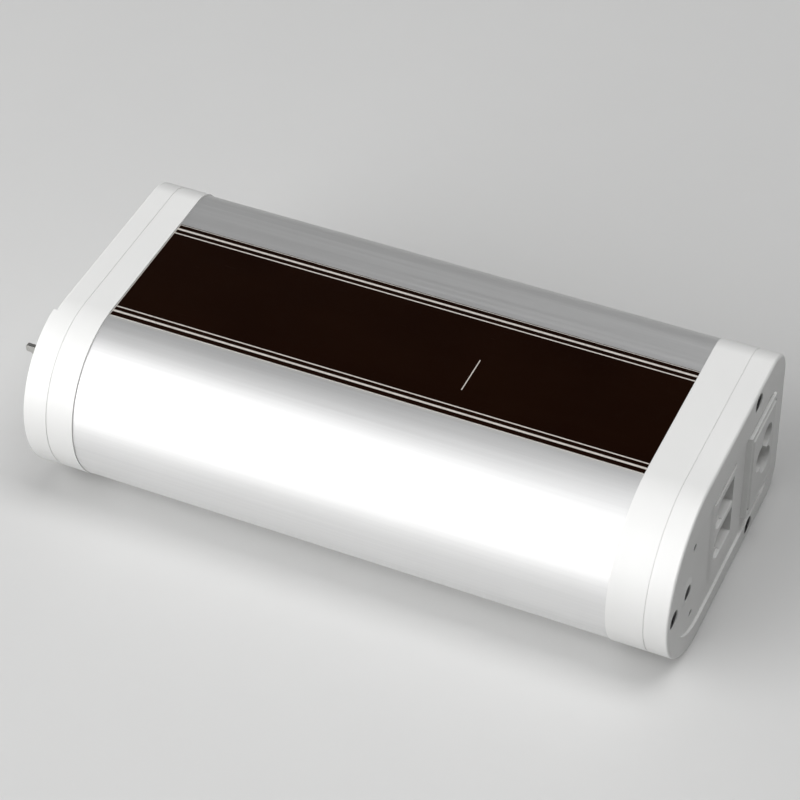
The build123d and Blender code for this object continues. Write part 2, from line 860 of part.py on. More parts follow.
def power_inlet():
    x_mouth = x_floor + inlet_stand
    x_back = x_mouth - inlet_depth
    section = window(inlet_near_y, inlet_far_y, inlet_low_z, inlet_high_z, moulded_corner)
    body = prism(section, x_back, x_mouth)
    body = chamfer(end_edges(body, x_mouth), inlet_bevel)
    flange = window(inlet_near_y - inlet_flange, inlet_far_y + inlet_flange, inlet_low_z - inlet_flange,
                    inlet_high_z + inlet_flange, moulded_corner)
    body += prism(flange, x_plate_back - inlet_flange_thickness, x_plate_back)
    body -= prism(inlet_mouth(), x_mouth - inlet_cavity_depth, x_mouth)
    for y, z in inlet_places():
        body -= rod(y, z, pin_radius, x_back, x_mouth)
    return body


def inlet_pins():
    x_mouth = x_floor + inlet_stand
    x_back = x_mouth - inlet_depth
    pins = []
    for y, z in inlet_places():
        pin = rod(y, z, pin_radius, x_back - pin_tail, x_mouth - pin_recess)
        pins.append(chamfer(end_edges(pin, x_mouth - pin_recess), pin_chamfer))
    return group(pins)


def modular_jack(centre_z):
    half = (jack_pitch - jack_gap) / 2
    y_low = jack_mouth_near_y - jack_step_depth - jack_slot_depth - jack_wall
    body = block((x_board_front, x_plate_back), (y_low, jack_mouth_far_y + jack_wall),
                 (centre_z - half, centre_z + half))
    return body - prism(jack_mouth(centre_z), x_plate_back - jack_depth, x_plate_back)


def jack_contacts():
    x_back = x_plate_back - jack_depth
    x_front = x_plate_back - contact_setback
    y_high = jack_mouth_far_y
    contacts = []
    for centre_z in jack_centres():
        for i in range(contact_count):
            z = centre_z + (i - (contact_count - 1) / 2) * contact_pitch
            outline = [(x_back, y_high - contact_rise), (x_back, y_high - contact_rise - contact_thickness),
                       (x_front, y_high - contact_thickness), (x_front, y_high)]
            contacts.append(top_prism(outline, z - contact_width / 2, z + contact_width / 2))
    return group(contacts)


def control_board():
    outline = window(y_near, post_y + control_board_margin, 0, case_height, moulded_corner)
    board = prism(outline & cap_profile(control_board_inset), x_board_back, x_board_front)
    for y, z in post_places:
        board -= rod(y, z, board_screw_radius + fit_gap, x_board_back, x_board_front)
    y, z = screw_places[2]
    return board - rod(y, z, port_radius + port_clearance, x_board_back, x_board_front)


def control_board_screws():
    screws = []
    for y, z in post_places:
        head = rod(y, z, board_screw_head_radius, x_board_back - board_screw_head_thickness, x_board_back)
        screws.append(head + rod(y, z, board_screw_radius, x_board_back, x_board_front + board_screw_bite))
    return group(screws)


def button_switch():
    half = switch_size / 2
    body = block((x_board_front, x_board_front + switch_height), (button_y - half, button_y + half),
                 (button_z - half, button_z + half))
    bore_floor = x_board_front + switch_height - stem_bite - button_travel - stem_end_gap
    return body - rod(button_y, button_z, switch_bore_radius, bore_floor, x_board_front + switch_height)


def setting_button():
    x_flange = x_plate_back - button_flange_gap
    x_cap = x_floor + button_boss_height - button_sink
    cap = rod(button_y, button_z, button_radius, x_flange, x_cap)
    cap = fillet(end_edges(cap, x_cap), button_round)
    flange = rod(button_y, button_z, button_flange_radius, x_flange - button_flange_thickness, x_flange)
    x_stem = x_board_front + switch_height - stem_bite
    return cap + flange + rod(button_y, button_z, button_stem_radius, x_stem, x_flange)


def indicator_light_pipes():
    pipes = []
    for y, z in light_places():
        pipe = rod(y, z, light_radius, x_board_front, x_floor - light_sink)
        pipe += rod(y, z, light_flange_radius, x_plate_back - light_flange_thickness, x_plate_back)
        pipes.append(pipe)
    return group(pipes)


def radio_module():
    y = button_y + radio_offset[0]
    z = mid_z + radio_offset[1]
    depth, width, height = radio_size
    return block((x_board_back - depth, x_board_back), (y - width / 2, y + width / 2),
                 (z - height / 2, z + height / 2))


# Motor

def motor_can():
    can = axis_tube(motor_radius, motor_radius - motor_wall, x_motor_start, x_motor_end)
    can += axis_rod(motor_radius, x_motor_start, x_motor_start + motor_wall)
    seat = motor_bearing_radius + motor_wall
    can += axis_rod(seat, x_motor_start, x_motor_start + motor_bearing_width)
    return can - axis_rod(motor_bearing_radius, x_motor_start, x_motor_start + motor_bearing_width)


def motor_magnets():
    outer = motor_radius - motor_wall
    inner = outer - magnet_thickness
    x_start = x_armature_start - magnet_overhang
    x_end = x_armature_end + magnet_overhang
    ring = axis_tube(outer, inner, x_start, x_end)
    gap_half = outer * math.sin(math.radians(90 - magnet_span / 2))
    gap = block((x_start, x_end), (axis_y - outer, axis_y + outer), (axis_z - gap_half, axis_z + gap_half))
    return ring - gap


def slot_angles():
    return [360.0 * i / armature_slots for i in range(armature_slots)]


def armature_radius():
    return motor_radius - motor_wall - magnet_thickness - air_gap


def slot_bar(width, inner, outer, angle):
    bar = Pos((inner + outer) / 2, 0) * Rectangle(outer - inner, width)
    return Pos(axis_y, axis_z) * Rot(0, 0, angle) * bar


def armature_core():
    radius = armature_radius()
    section = Pos(axis_y, axis_z) * Circle(radius)
    for angle in slot_angles():
        section -= slot_bar(slot_width, radius - slot_depth, radius + cut_over, angle)
    section -= Pos(axis_y, axis_z) * Circle(shaft_radius)
    return prism(section, x_armature_start, x_armature_end)


def armature_winding():
    """Coils: a bundle in each slot, joined by the end turns."""
    radius = armature_radius()
    inner = radius - slot_depth + winding_clearance
    outer = radius - winding_sink
    overlap = winding_clearance + winding_bite
    winding = None
    for angle in slot_angles():
        bar = slot_bar(slot_width - 2 * winding_clearance, inner, outer, angle)
        bundle = prism(bar, x_armature_start - overlap, x_armature_end + overlap)
        winding = bundle if winding is None else winding + bundle
    for x_start, direction in ((x_armature_start, -1), (x_armature_end, 1)):
        x_inner = x_start + direction * winding_clearance
        winding += axis_tube(outer, shaft_radius + winding_shaft_gap, x_inner,
                        x_inner + direction * winding_overhang)
    return winding


def rotor_shaft():
    x_step = x_motor_start - shaft_step
    shaft = axis_rod(shaft_radius, x_step, x_magnet_end)
    return shaft + axis_rod(sun_bore_radius, x_first_planets, x_step)


def commutator():
    barrel = axis_tube(commutator_radius, shaft_radius, x_commutator, x_commutator + commutator_length)
    for angle in slot_angles():
        cut = slot_bar(segment_gap, commutator_radius - segment_depth, commutator_radius + cut_over, angle)
        barrel -= prism(cut, x_commutator, x_commutator + commutator_length)
    return barrel


def brush_reach():
    """Distance from the axis to a brush's outer end."""
    return motor_radius - motor_wall - brush_end_gap


def brush_column(margin, x_start, x_end, z_span):
    """Square column across the axis, as wide as a brush with a margin on each side."""
    half = brush_size / 2 + margin
    return block((x_start, x_end), (axis_y - half, axis_y + half), z_span)


def motor_brushes():
    inner = commutator_radius + brush_gap
    brushes = []
    for side in (1, -1):
        z_span = sorted((axis_z + side * inner, axis_z + side * brush_reach()))
        brushes.append(brush_column(0, x_brushes, x_brushes + brush_size, z_span)
                       - axis_rod(inner, x_brushes, x_brushes + brush_size))
    return group(brushes)


def motor_end_bell():
    bell = axis_rod(motor_radius, x_motor_end, x_bell_end)
    register = motor_radius - motor_wall - bell_register_gap
    x_inside = x_brushes - brush_holder_wall
    bell += axis_tube(register, register - bell_skirt, x_inside, x_motor_end)
    for side in (1, -1):
        z_span = sorted((axis_z + side * (commutator_radius + brush_holder_gap),
                         axis_z + side * (register - bell_skirt / 2)))
        bell += brush_column(brush_holder_wall, x_inside, x_motor_end, z_span)
    brush_span = (axis_z - brush_reach(), axis_z + brush_reach())
    bell -= brush_column(0, x_brushes, x_brushes + brush_size, brush_span)
    bell -= axis_rod(motor_bearing_radius, x_bell_end - motor_bearing_width, x_bell_end)
    for side in (1, -1):
        y_post = axis_y + side * encoder_post_spread
        bell += rod(y_post, axis_z, encoder_post_radius, x_bell_end, x_encoder_board)
    return bell


def motor_bearings():
    bore = shaft_radius + running_gap
    front = axis_tube(motor_bearing_radius, bore, x_motor_start, x_motor_start + motor_bearing_width)
    rear = axis_tube(motor_bearing_radius, bore, x_bell_end - motor_bearing_width, x_bell_end)
    return group([front, rear])


def encoder_magnet():
    x_start = x_magnet_end - encoder_magnet_length
    return axis_tube(encoder_magnet_radius, shaft_radius, x_start, x_magnet_end)


def encoder_board():
    return axis_rod(encoder_board_radius, x_encoder_board, x_encoder_board + control_board_thickness)


def motor_dampers():
    dampers = []
    y_tip, z_tip = screw_places[2]
    for x_start in (x_motor_start + damper_inset, x_motor_end - damper_inset - damper_width):
        ring = axis_tube(bore_radius - damper_gap, motor_radius, x_start, x_start + damper_width)
        port = rod(y_tip, z_tip, port_radius + port_clearance, x_start, x_start + damper_width)
        dampers.append(ring - port)
    return group(dampers)


# Gearbox

def sun_gear():
    gear = external_gear(sun_teeth, 0, axis_y, axis_z, x_first_planets, x_first_planets_end)
    return gear - axis_rod(sun_bore_radius, x_first_planets, x_first_planets_end)


def gearbox_adapter():
    plate = axis_rod(motor_radius, x_housing_end, x_motor_start)
    opening = sun_pitch_radius + addendum + adapter_clearance
    return plate - axis_rod(opening, x_housing_end, x_motor_start)


def ring_gear():
    spaces = gear_outline(ring_teeth, ring_pitch_radius + dedendum, ring_pitch_radius - addendum,
                          tooth_backlash, ring_phase + math.pi / ring_teeth)
    section = Pos(axis_y, axis_z) * (Circle(motor_radius) - spaces)
    return prism(section, x_housing_start, x_housing_end)


def gearbox_cover():
    cover = axis_rod(motor_radius, x_gear_front, x_housing_start)
    cover += axis_rod(nose_radius, x_out, x_gear_front)
    cover += axis_rod(pilot_radius, x_nose, x_out)
    cover -= axis_rod(output_shaft_radius + shaft_clearance, x_nose, x_housing_start)
    cover -= axis_rod(output_bearing_radius, x_nose, x_nose + output_bearing_width)
    cover -= axis_rod(output_bearing_radius, x_housing_start - output_bearing_width, x_housing_start)
    for y, z in gearbox_screw_places():
        cover -= rod(y, z, gearbox_screw_radius, x_gear_front, x_gear_front + gearbox_screw_bite)
    return cover


def gearbox_screws():
    screws = []
    for y, z in gearbox_screw_places():
        x_seat = x_out_seam + gearbox_screw_head_thickness
        head = rod(y, z, gearbox_screw_head_radius, x_out_seam, x_seat)
        screws.append(head + rod(y, z, gearbox_screw_radius, x_seat, x_gear_front + gearbox_screw_bite))
    return group(screws)


def output_bearings():
    bore = output_shaft_radius + running_gap
    front = axis_tube(output_bearing_radius, bore, x_nose, x_nose + output_bearing_width)
    rear = axis_tube(output_bearing_radius, bore, x_housing_start - output_bearing_width, x_housing_start)
    return group([front, rear])


def first_carrier():
    """Carrier plate with its planet pins and the second stage's sun gear in one piece."""
    plate_end = x_first_plate + first_plate_thickness
    carrier = axis_rod(orbit_radius + carrier_margin, x_first_plate, plate_end)
    for pin in planet_pins(first_pin_radius, plate_end, x_first_planets_end):
        carrier += pin
    return carrier + external_gear(sun_teeth, 0, axis_y, axis_z, x_second_planets, x_first_plate)


def output_carrier():
    """Second carrier, its pins and the output shaft in one piece."""
    plate_end = x_second_plate + second_plate_thickness
    carrier = axis_rod(orbit_radius + carrier_margin, x_second_plate, plate_end)
    for pin in planet_pins(second_pin_radius, plate_end, x_second_planets + second_planet_width):
        carrier += pin
    x_tip = x_coupling_end + coupling_end_wall
    return carrier + axis_rod(output_shaft_radius, x_tip, x_second_plate)


def drive_coupling():
    """Grooved hub on the output shaft that a rail's drive pulley plugs onto."""
    section = Pos(axis_y, axis_z) * Circle(coupling_radius)
    for i in range(coupling_grooves):
        angle = 2 * math.pi * i / coupling_grooves
        groove = Pos(axis_y + coupling_radius * math.cos(angle), axis_z + coupling_radius * math.sin(angle))
        section -= groove * Circle(coupling_groove_radius)
    hub = prism(section, x_coupling_end, x_coupling)
    hub = chamfer(end_edges(hub, x_coupling_end), coupling_chamfer)
    return hub - axis_rod(output_shaft_radius, x_coupling_end + coupling_end_wall, x_coupling)


# Rail lock

def lock_claw():
    """Steel bracket behind the cover with two tongues that reach out past the land."""
    y_high = claw_y + claw_thickness
    x_tip = x_out - lock_reach
    x_foot = x_out_seam - claw_foot_thickness
    tongues = None
    for side, (z_low, z_high) in zip((1, -1), claw_z_ranges()):
        z_top = z_high if side > 0 else z_low
        z_bottom = z_low if side > 0 else z_high
        outline = [(x_foot, z_top), (x_tip, z_top), (x_tip, z_top - side * claw_nose),
                   (x_tip + claw_nose_run, z_top - side * claw_nose),
                   (x_tip + claw_nose_run + claw_root - claw_nose, z_bottom), (x_foot, z_bottom)]
        tongue = side_prism(outline, claw_y, y_high)
        corner = tongue.edges().filter_by(Axis.Y).group_by(Axis.X)[0]
        tongue = fillet(corner, claw_round)
        tongues = tongue if tongues is None else tongues + tongue
    z_ranges = claw_z_ranges()
    foot = block((x_foot, x_out_seam), (claw_y - claw_foot_width, y_high), (z_ranges[1][0], z_ranges[0][1]))
    return tongues + foot


def lock_latch():
    """Sliding latch: plate behind the cover, hooked tab towards the rail and a release knob."""
    y_start = latch_start_y
    x_plate = x_latch_plate
    z_span = (axis_z - latch_half_width, axis_z + latch_half_width)
    plate = block((x_plate, x_plate + latch_thickness), (y_start, latch_end_y), z_span)
    x_tip = x_out - lock_reach
    x_slope = x_tip + latch_hook_slope
    x_hook = x_tip + latch_hook_length
    y_back = y_start + latch_tab
    y_hook = y_start - latch_hook
    hook = [(x_plate, y_start), (x_plate, y_back), (x_tip, y_back), (x_tip, y_start),
            (x_slope, y_hook), (x_hook, y_hook), (x_hook, y_start)]
    latch = plate + top_prism(hook, *z_span)
    knob_z = (axis_z - knob_half_width, axis_z + knob_half_width)
    x_knob = x_out - knob_proud
    knob = block((x_knob, x_plate), (knob_y, knob_y + knob_length), knob_z)
    for i in range(knob_ribs):
        y_rib = knob_y + knob_length * (i + 1) / (knob_ribs + 1)
        rib_span = (y_rib - knob_rib_width / 2, y_rib + knob_rib_width / 2)
        knob -= block((x_knob, x_knob + knob_rib_depth), rib_span, knob_z)
    return latch + knob


def latch_spring():
    """Coil spring between the latch and the collar's stop."""
    height = spring_run - spring_wire
    helix = Helix(pitch=height / spring_coils, height=height, radius=spring_radius)
    foot = (x_spring, latch_end_y + spring_wire / 2, axis_z)
    path = Plane(origin=foot, x_dir=(1, 0, 0), z_dir=(0, 1, 0)) * helix
    start = Plane(origin=path @ 0, z_dir=path % 0)
    return sweep(start * Circle(spring_wire / 2), path=path, is_frenet=True)


# Power supply on its board

def board_spot(place):
    """Point on the power board from its socket end and its middle line."""
    back, side = place
    return power_board_end - back, board_middle_y + side


def on_board(place, size):
    """Rectangular component standing on the power board."""
    x, y = board_spot(place)
    return block((x - size[0] / 2, x + size[0] / 2), (y - size[1] / 2, y + size[1] / 2),
                 (board_top, board_top + size[2]))


def power_board():
    return block((power_board_end - power_board_length, power_board_end), (board_y_start, board_y_end),
                 (power_board_z, board_top))


def board_terminals():
    return group([on_board(mains_terminal_place, mains_terminal_size),
                  on_board(motor_terminal_place, motor_terminal_size)])


def line_filter_choke():
    x, y = board_spot(choke_place)
    ring = Cylinder(choke_radius, choke_width) - Cylinder(choke_bore, choke_width)
    return Pos(x, y, board_top + choke_radius) * Rot(90, 0, 0) * ring


def line_fuse():
    x, y = board_spot(fuse_place)
    z = board_top + fuse_cap_radius + fuse_stand
    lead = fuse_lead_width / 2
    half = fuse_length / 2
    body = rod(y, z, fuse_radius, x - half, x + half)
    for side in (1, -1):
        x_cap = x + side * (half - fuse_cap_length / 2)
        body += rod(y, z, fuse_cap_radius, x_cap - fuse_cap_length / 2, x_cap + fuse_cap_length / 2)
        body += block((x_cap - lead, x_cap + lead), (y - lead, y + lead), (board_top, z))
    return body


def standing_can(place, radius, height):
    x, y = board_spot(place)
    can = Pos(x, y, board_top + height / 2) * Cylinder(radius, height)
    return fillet(can.edges().group_by(Axis.Z)[-1], can_round)


def bulk_capacitor():
    return standing_can(bulk_place, bulk_radius, bulk_height)


def output_capacitors():
    return group([standing_can(place, output_can_radius, output_can_height) for place in output_can_places])


def transformer_frame(size, window_height, leg):
    """Core outline with its two winding windows, and the window height above the board."""
    x, y = board_spot(transformer_place)
    length, width, height = size
    z_low = board_top + transformer_foot
    core = block((x - length / 2, x + length / 2), (y - width / 2, y + width / 2), (z_low, z_low + height))
    z_window = z_low + (height - window_height) / 2
    for side in (1, -1):
        x_span = sorted((x + side * leg, x + side * (length / 2 - leg)))
        core -= block(x_span, (y - width / 2, y + width / 2), (z_window, z_window + window_height))
    return core, z_window


def transformer_core():
    core, _ = transformer_frame(transformer_size, transformer_window, transformer_leg)
    return core


def transformer_winding():
    x, y = board_spot(transformer_place)
    _, z_window = transformer_frame(transformer_size, transformer_window, transformer_leg)
    half_x = transformer_size[0] / 2 - transformer_leg - fit_gap
    half_y = transformer_size[1] / 2 + transformer_overhang
    z_span = (z_window + fit_gap, z_window + transformer_window - fit_gap)
    coil = block((x - half_x, x + half_x), (y - half_y, y + half_y), z_span)
    coil -= block((x - transformer_leg, x + transformer_leg),
                  (y - transformer_size[1] / 2, y + transformer_size[1] / 2), z_span)
    for side in (1, -1):
        y_span = sorted((y + side * (transformer_size[1] / 2 + fit_gap), y + side * half_y))
        coil += block((x - half_x, x + half_x), y_span, (board_top, z_span[0]))
    return coil


def rectifier_heatsink():
    x, y = board_spot(heatsink_place)
    plate, width, height = heatsink_size
    sink = on_board(heatsink_place, heatsink_size)
    for i in range(heatsink_fins):
        y_fin = y + width * ((i + 0.5) / heatsink_fins - 0.5)
        sink += block((x, x + plate / 2 + heatsink_fin_reach),
                      (y_fin - heatsink_fin / 2, y_fin + heatsink_fin / 2), (board_top, board_top + height))
    return sink


def internal_leads():
    """Mains leads from the inlet pins and motor leads from the end bell, each to its terminal."""
    leads = []
    x_tail = x_floor + inlet_stand - inlet_depth - pin_tail
    x_terminal, _ = board_spot(mains_terminal_place)
    terminal_top = board_top + mains_terminal_size[2]
    for side, (y, z) in zip((-1, 1, 0), inlet_places()):
        x_drop = x_terminal + side * mains_lead_spread
        points = [(x_tail, y, z), (x_drop, y, z), (x_drop, y, terminal_top)]
        leads.append(wire_along(points, lead_radius, lead_bend))
    x_terminal, y_terminal = board_spot(motor_terminal_place)
    terminal_top = board_top + motor_terminal_size[2]
    for side in (1, -1):
        y = axis_y + motor_lead_offset + side * motor_lead_pitch / 2
        z = axis_z + motor_lead_rise + side * motor_lead_pitch / 2
        x_turn = x_terminal + side * motor_lead_pitch / 2
        points = [(x_bell_end, y, z), (x_turn, y, z), (x_turn, y_terminal, z),
                  (x_turn, y_terminal, terminal_top)]
        leads.append(wire_along(points, lead_radius, lead_bend))
    return group(leads)


nodes = {
    "body_extrusion": body_extrusion(),
    "rating_label": rating_label(),
    "output_collar": output_collar(),
    "output_cover": output_cover(),
    "socket_collar": socket_collar(),
    "socket_cover": socket_cover(),
    "output_cover_screws": case_screws(x_out, -1),
    "socket_cover_screws": case_screws(x_sock, 1),
    "power_inlet": power_inlet(),
    "inlet_pins": inlet_pins(),
    "jack_upper": modular_jack(jack_centres()[0]),
    "jack_lower": modular_jack(jack_centres()[1]),
    "jack_contacts": jack_contacts(),
    "control_board": control_board(),
    "control_board_screws": control_board_screws(),
    "button_switch": button_switch(),
    "setting_button": setting_button(),
    "indicator_light_pipes": indicator_light_pipes(),
    "radio_module": radio_module(),
    "motor_can": motor_can(),
    "motor_magnets": motor_magnets(),
    "motor_end_bell": motor_end_bell(),
    "motor_brushes": motor_brushes(),
    "motor_bearings": motor_bearings(),
    "motor_dampers": motor_dampers(),
    "encoder_board": encoder_board(),
    "rotor_shaft": rotor_shaft(),
    "armature_core": armature_core(),
    "armature_winding": armature_winding(),
    "commutator": commutator(),
    "encoder_magnet": encoder_magnet(),
    "sun_gear": sun_gear(),
    "gearbox_adapter": gearbox_adapter(),
    "ring_gear": ring_gear(),
    "gearbox_cover": gearbox_cover(),
    "gearbox_screws": gearbox_screws(),
    "output_bearings": output_bearings(),
    "first_carrier": first_carrier(),
    "output_carrier": output_carrier(),
    "drive_coupling": drive_coupling(),
    "lock_claw": lock_claw(),
    "lock_latch": lock_latch(),
    "latch_spring": latch_spring(),
    "power_board": power_board(),
    "board_terminals": board_terminals(),
    "line_filter_choke": line_filter_choke(),
    "line_fuse": line_fuse(),
    "bulk_capacitor": bulk_capacitor(),
    "transformer_core": transformer_core(),
    "transformer_winding": transformer_winding(),
    "rectifier_heatsink": rectifier_heatsink(),
    "output_capacitors": output_capacitors(),
    "internal_leads": internal_leads(),
}
for number, angle in enumerate(planet_angles, start=1):
    nodes[f"first_planet_{number}"] = planet_gear(angle, x_first_planets, x_first_planets_end,
                                                  first_pin_radius + planet_bore_gap)
    nodes[f"second_planet_{number}"] = planet_gear(angle, x_second_planets,
                                                   x_second_planets + second_planet_width,
                                                   second_pin_radius + planet_bore_gap)

os.makedirs("parts", exist_ok=True)
for name, shape in nodes.items():
    export_step(shape, f"parts/{name}.step")
print(len(nodes), "nodes; drive axis at y", round(axis_y, 3), "z", round(axis_z, 3))
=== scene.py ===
"""Curtain motor: finishes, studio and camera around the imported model. Lengths are in metres."""
import math

import bpy
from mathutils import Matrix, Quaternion, Vector


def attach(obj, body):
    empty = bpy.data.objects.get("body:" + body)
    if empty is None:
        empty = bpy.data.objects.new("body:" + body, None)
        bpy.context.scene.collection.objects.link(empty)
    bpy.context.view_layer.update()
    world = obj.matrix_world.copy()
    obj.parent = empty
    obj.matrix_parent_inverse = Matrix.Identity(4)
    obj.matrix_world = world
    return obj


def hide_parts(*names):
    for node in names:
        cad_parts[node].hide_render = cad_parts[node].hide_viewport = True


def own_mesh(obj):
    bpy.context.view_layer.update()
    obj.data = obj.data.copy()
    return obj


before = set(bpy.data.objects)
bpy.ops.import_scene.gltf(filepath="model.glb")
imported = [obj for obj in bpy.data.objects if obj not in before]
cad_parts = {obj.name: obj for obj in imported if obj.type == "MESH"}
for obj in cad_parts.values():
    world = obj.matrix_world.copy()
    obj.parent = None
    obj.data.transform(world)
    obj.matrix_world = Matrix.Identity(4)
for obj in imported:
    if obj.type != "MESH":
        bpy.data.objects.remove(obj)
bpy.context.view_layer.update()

mm = 0.001

# Print on the label in mm: lines along the case as (y, half width), and lines across it
# as (x, half width, middle y, half length). The last of each is a hair line along the label's edge.
print_lines = [(21.9, 0.38), (19.9, 0.22), (-16.4, 0.22), (-18.4, 0.38), (23.85, 0.12)]
cross_lines = [(22.5, 0.16, -2.75, 6.75), (-84.4, 0.12, 1.7, 22.3)]

# Softened edges: the widest bevel on each kind of piece
moulded_bevel = 0.15 * mm
metal_bevel = 0.10 * mm
thin_bevel = 0.05 * mm
bevel_segments = 2
bevel_angle = math.radians(38)
weld_distance = 0.002 * mm

# Camera, fitted to the photograph's own edges
camera_place = Vector((0.25213, -0.53233, 0.58936))
camera_target = Vector((-0.00462, 0.00710, 0.02850))
camera_roll = math.radians(-1.43)
camera_lens = 124.75
camera_clip_start = 20 * mm

# Floor and the light that surrounds it. The paper throws less light back than the camera sees on it.
floor_radius = 1.5
cove_radius = 0.9
cove_steps = 12
cove_sides = 96
wall_height = 2.2
floor_tone = (0.68, 0.68, 0.675)
bounce_tone = (0.30, 0.30, 0.296)
world_tone = (0.86, 0.88, 0.90)
world_strength = 0.10

# Point that the lamps look at
lamp_target = (0, 0, 0.02)

# Shading: where most of a noise's values lie, what they are carried to, and the rays that look for corners
noise_core = (0.3, 0.7)
full_range = (0.0, 1.0)
corner_samples = 6

# Sockets of a Mix node that mixes colours
mix_factor = 0
mix_colours = slice(6, 8)
mix_result = 2


def add_object(name, data):
    """Put a mesh, lamp or camera into the scene as an object."""
    made = bpy.data.objects.new(name, data)
    bpy.context.scene.collection.objects.link(made)
    return made


def shade(colour, factor):
    """A colour made darker or lighter."""
    return tuple(channel * factor for channel in colour)


def grey(tone):
    """A colour with one tone in all its channels."""
    return (tone, tone, tone)


def even(count):
    """The same count per metre along each axis."""
    return (count, count, count)


def lengthwise(along, across):
    """Counts per metre of a pattern that is drawn out along the case."""
    return (along, across, across)


class Finish:
    """A material with a Principled shader, and short calls for the nodes that give it detail."""

    def __init__(self, name, colour, roughness, metallic=0.0):
        self.material = bpy.data.materials.new(name)
        self.material.use_nodes = True
        self.tree = self.material.node_tree
        self.shader = self.tree.nodes["Principled BSDF"]
        self.set("Base Color", (*colour, 1.0))
        self.set("Roughness", roughness)
        self.set("Metallic", metallic)
        self.place = self.node("ShaderNodeTexCoord").outputs["Object"]

    def set(self, socket, value):
        """Give a shader socket a value, or link it to another node's output."""
        self.feed(self.shader.inputs[socket], value)

    def feed(self, socket, value):
        """Do the same for a socket of any node."""
        if isinstance(value, bpy.types.NodeSocket):
            self.tree.links.new(value, socket)
        else:
            socket.default_value = value

    def node(self, kind, inputs=None, **settings):
        """Add a node with its settings and inputs."""
        made = self.tree.nodes.new(kind)
        for name, value in settings.items():
            setattr(made, name, value)
        for name, value in (inputs or {}).items():
            self.feed(made.inputs[name], value)
        return made

    def texture(self, kind, per_metre, inputs=None, **settings):
        """Add a texture node that repeats by a count per metre along each axis of the object."""
        place = self.node("ShaderNodeMapping", {"Vector": self.place, "Scale": per_metre}).outputs["Vector"]
        return self.node(kind, {"Vector": place, "Scale": 1.0, **(inputs or {})}, **settings)

    def noise(self, per_metre, detail=2.0, roughness=0.5):
        """Soft patches."""
        inputs = {"Detail": detail, "Roughness": roughness}
        return self.texture("ShaderNodeTexNoise", per_metre, inputs).outputs["Fac"]

    def cell_edges(self, per_metre):
        """Distance to the nearest edge between irregular cells."""
        cells = self.texture("ShaderNodeTexVoronoi", per_metre, feature="DISTANCE_TO_EDGE")
        return cells.outputs["Distance"]

    def waves(self, per_metre, distortion, detail):
        """Parallel bands with a little wander."""
        inputs = {"Distortion": distortion, "Detail": detail}
        return self.texture("ShaderNodeTexWave", per_metre, inputs).outputs["Fac"]

    def span(self, value, source=noise_core, target=full_range):
        """Carry a value from one range to another, clamped."""
        low, high = source
        to_low, to_high = target
        inputs = {"Value": value, "From Min": low, "From Max": high, "To Min": to_low, "To Max": to_high}
        return self.node("ShaderNodeMapRange", inputs).outputs["Result"]

    def maths(self, operation, first, second=0.0, third=0.0):
        """Work out one value from up to three."""
        node = self.node("ShaderNodeMath", operation=operation)
        for socket, value in zip(node.inputs, (first, second, third)):
            self.feed(socket, value)
        return node.outputs["Value"]

    def blend(self, factor, first, second):
        """Mix two colours, or two sockets that carry colours."""
        node = self.node("ShaderNodeMix", data_type="RGBA")
        self.feed(node.inputs[mix_factor], factor)
        for socket, value in zip(node.inputs[mix_colours], (first, second)):
            self.feed(socket, (*value, 1.0) if isinstance(value, tuple) else value)
        return node.outputs[mix_result]

    def axis(self, letter):
        """One object coordinate."""
        return self.node("ShaderNodeSeparateXYZ", {"Vector": self.place}).outputs[letter]

    def band(self, value, middle, half_width):
        """1 where a value lies within half_width of middle, else 0."""
        return self.maths("COMPARE", value, middle, half_width)

    def bump(self, height, distance, strength=1.0, under=None):
        """Raise the surface by a height map, on top of another bump where one is given."""
        inputs = {"Height": height, "Distance": distance, "Strength": strength}
        if under is not None:
            inputs["Normal"] = under
        normal = self.node("ShaderNodeBump", inputs).outputs["Normal"]
        self.set("Normal", normal)
        return normal

    def openness(self, reach):
        """1 in the open and less in corners and grooves."""
        node = self.node("ShaderNodeAmbientOcclusion", {"Distance": reach}, samples=corner_samples)
        return node.outputs["AO"]


# Finishes

def brushed_aluminium():
    """Anodised extrusion, brushed along its length."""
    dark_streak = grey(0.725)
    light_streak = grey(0.765)
    finish = Finish("brushed_aluminium", colour=grey(0.74), roughness=0.5, metallic=1.0)
    streaks = finish.noise(lengthwise(along=9, across=1300), detail=4.0, roughness=0.62)
    hairs = finish.noise(lengthwise(along=55, across=5200))
    clouds = finish.noise(lengthwise(along=14, across=22))
    finish.set("Base Color", finish.blend(finish.span(streaks), dark_streak, light_streak))
    brushed = finish.span(streaks, source=(0.25, 0.75), target=(0.47, 0.53))
    finish.set("Roughness", finish.maths("ADD", brushed, finish.span(clouds, target=(0.0, 0.02))))
    finish.set("Anisotropic", 0.3)
    tangent = finish.node("ShaderNodeTangent", direction_type="RADIAL", axis="X")
    finish.set("Tangent", tangent.outputs["Tangent"])
    under = finish.bump(streaks, distance=0.010 * mm, strength=0.3)
    finish.bump(hairs, distance=0.005 * mm, strength=0.25, under=under)
    return finish.material


